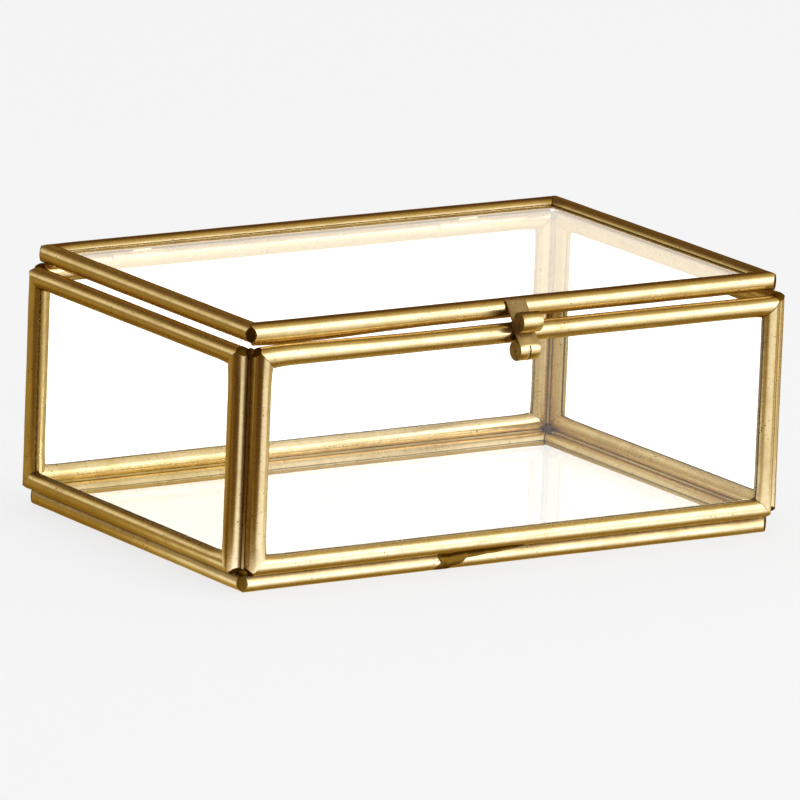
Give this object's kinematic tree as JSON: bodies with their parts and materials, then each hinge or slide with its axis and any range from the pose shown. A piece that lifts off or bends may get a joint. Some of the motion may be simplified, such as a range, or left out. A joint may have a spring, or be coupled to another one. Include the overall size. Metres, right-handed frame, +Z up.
{
  "type": "jewelry box",
  "caption": "Clear glass keepsake box framed in slit brass tubes with mitred corners, with a hinged glass lid and a curled strip clasp at the front.",
  "frame": {"origin": "On the surface that the box stands on, under the middle of its whole footprint with the clasp", "axes": "+X along the width, to the right seen from the front; +Y to the back, where the hinges are; +Z up"},
  "size_m": [0.15, 0.1044, 0.062],
  "materials": {
    "brass": "aged satin brass",
    "glass": "clear and polished",
    "solder": "dark brassed solder"
  },
  "bodies": {
    "box": {"back_bottom_rail": "brass", "back_glass": "glass", "back_left_corner_solder": "solder", "back_left_post": "brass", "back_mitre_solder": "solder", "back_right_corner_solder": "solder", "back_right_post": "brass", "back_top_rail": "brass", "base_back_rail": "brass", "base_back_solder": "solder", "base_front_rail": "brass", "base_front_solder": "solder", "base_glass": "glass", "base_left_rail": "brass", "base_left_solder": "solder", "base_mitre_solder": "solder", "base_right_rail": "brass", "base_right_solder": "solder", "body_clasp_curl": "brass", "front_bottom_rail": "brass", "front_glass": "glass", "front_left_corner_solder": "solder", "front_left_post": "brass", "front_mitre_solder": "solder", "front_right_corner_solder": "solder", "front_right_post": "brass", "front_top_rail": "brass", "left_back_post": "brass", "left_bottom_rail": "brass", "left_front_post": "brass", "left_glass": "glass", "left_hinge_body_leaf": "brass", "left_hinge_pin": "brass", "left_mitre_solder": "solder", "left_top_rail": "brass", "right_back_post": "brass", "right_bottom_rail": "brass", "right_front_post": "brass", "right_glass": "glass", "right_hinge_body_leaf": "brass", "right_hinge_pin": "brass", "right_mitre_solder": "solder", "right_top_rail": "brass"},
    "lid": {"left_hinge_lid_leaf": "brass", "lid_back_rail": "brass", "lid_clasp_curl": "brass", "lid_front_rail": "brass", "lid_glass": "glass", "lid_left_rail": "brass", "lid_mitre_solder": "solder", "lid_right_rail": "brass", "right_hinge_lid_leaf": "brass"}
  },
  "joints": [
    {"name": "lid_hinge", "type": "hinge", "parent": "box", "child": "lid", "pos_m": [0, 0.05062, 0.0583], "axis": [-1, 0, 0], "range_deg": [0, 180]}
  ]
}
